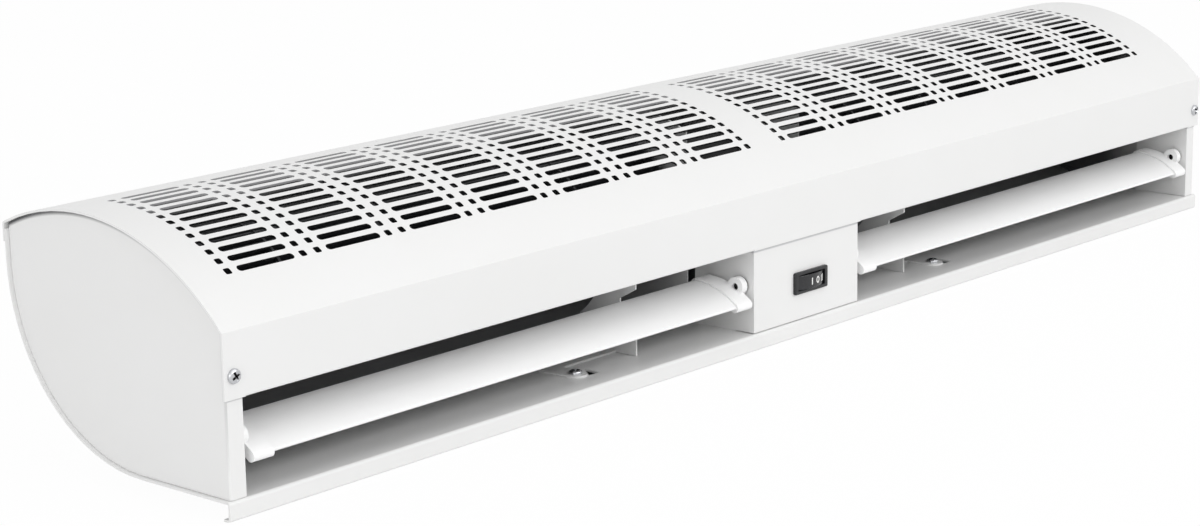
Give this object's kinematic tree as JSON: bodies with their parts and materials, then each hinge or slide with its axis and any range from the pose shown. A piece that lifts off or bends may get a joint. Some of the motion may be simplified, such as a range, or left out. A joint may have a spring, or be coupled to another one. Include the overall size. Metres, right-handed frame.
{
  "type": "air curtain",
  "caption": "Wide white air curtain with a rolled slotted intake cover, two outlets with tilting vanes, cross-flow fans on one motor, a rocker switch and a wall plate.",
  "frame": {"origin": "centre of the four wall holes, on the wall plane", "axes": "+X along the length, -Y out of the outlets, +Z away from the wall, through the slotted cover"},
  "size_m": [0.9, 0.1675, 0.1375],
  "materials": {
    "white_steel": "satin powder coat",
    "white_plastic": "satin",
    "zinc_steel": "zinc plated",
    "dark_fan": "matte",
    "black_plastic": "fine texture",
    "black_rubber": "matte",
    "brass_bush": "machined",
    "cream_plastic": "satin"
  },
  "bodies": {
    "housing": {"rear_casing": "white_steel", "front_cover": "white_steel", "left_end_plate": "white_steel", "right_end_plate": "white_steel", "control_box": "white_steel", "left_divider": "white_steel", "right_divider": "white_steel", "left_tongue": "white_steel", "right_tongue": "white_steel", "left_partition": "white_steel", "right_partition": "white_steel", "wall_plate": "zinc_steel", "vane_pivots": "zinc_steel", "motor_housing": "zinc_steel", "motor_bracket": "zinc_steel", "motor_straps": "zinc_steel", "bearing_carriers": "zinc_steel", "capacitor_clip": "zinc_steel", "cover_screws": "zinc_steel", "divider_screws": "zinc_steel", "box_screws": "zinc_steel", "motor_screws": "zinc_steel", "plate_screws": "zinc_steel", "switch_body": "black_plastic", "motor_rings": "black_rubber", "bearing_rubbers": "black_rubber", "cable_grommet": "black_rubber", "bearing_bushes": "brass_bush", "capacitor": "cream_plastic", "terminal_block": "cream_plastic"},
    "rotor": {"left_impeller": "dark_fan", "right_impeller": "dark_fan", "motor_shaft": "zinc_steel"},
    "left_louvre": {"left_vane": "white_plastic", "left_vane_caps": "white_plastic"},
    "right_louvre": {"right_vane": "white_plastic", "right_vane_caps": "white_plastic"},
    "rocker": {"switch_rocker": "black_plastic"}
  },
  "joints": [
    {"name": "fan_spin", "type": "hinge", "parent": "housing", "child": "rotor", "pos_m": [0, 0.06021, 0.07201], "axis": [1, 0, 0], "continuous": true},
    {"name": "left_vane_tilt", "type": "hinge", "parent": "housing", "child": "left_louvre", "pos_m": [-0.244, -0.0253, 0.038], "axis": [1, 0, 0], "range_deg": [-30, 0]},
    {"name": "right_vane_tilt", "type": "hinge", "parent": "housing", "child": "right_louvre", "pos_m": [0.244, -0.0253, 0.038], "axis": [1, 0, 0], "range_deg": [-30, 0]},
    {"name": "rocker_tilt", "type": "hinge", "parent": "housing", "child": "rocker", "pos_m": [0.0024, -0.0318, 0.0325], "axis": [0, 0, 1], "range_deg": [-9, 9]}
  ]
}
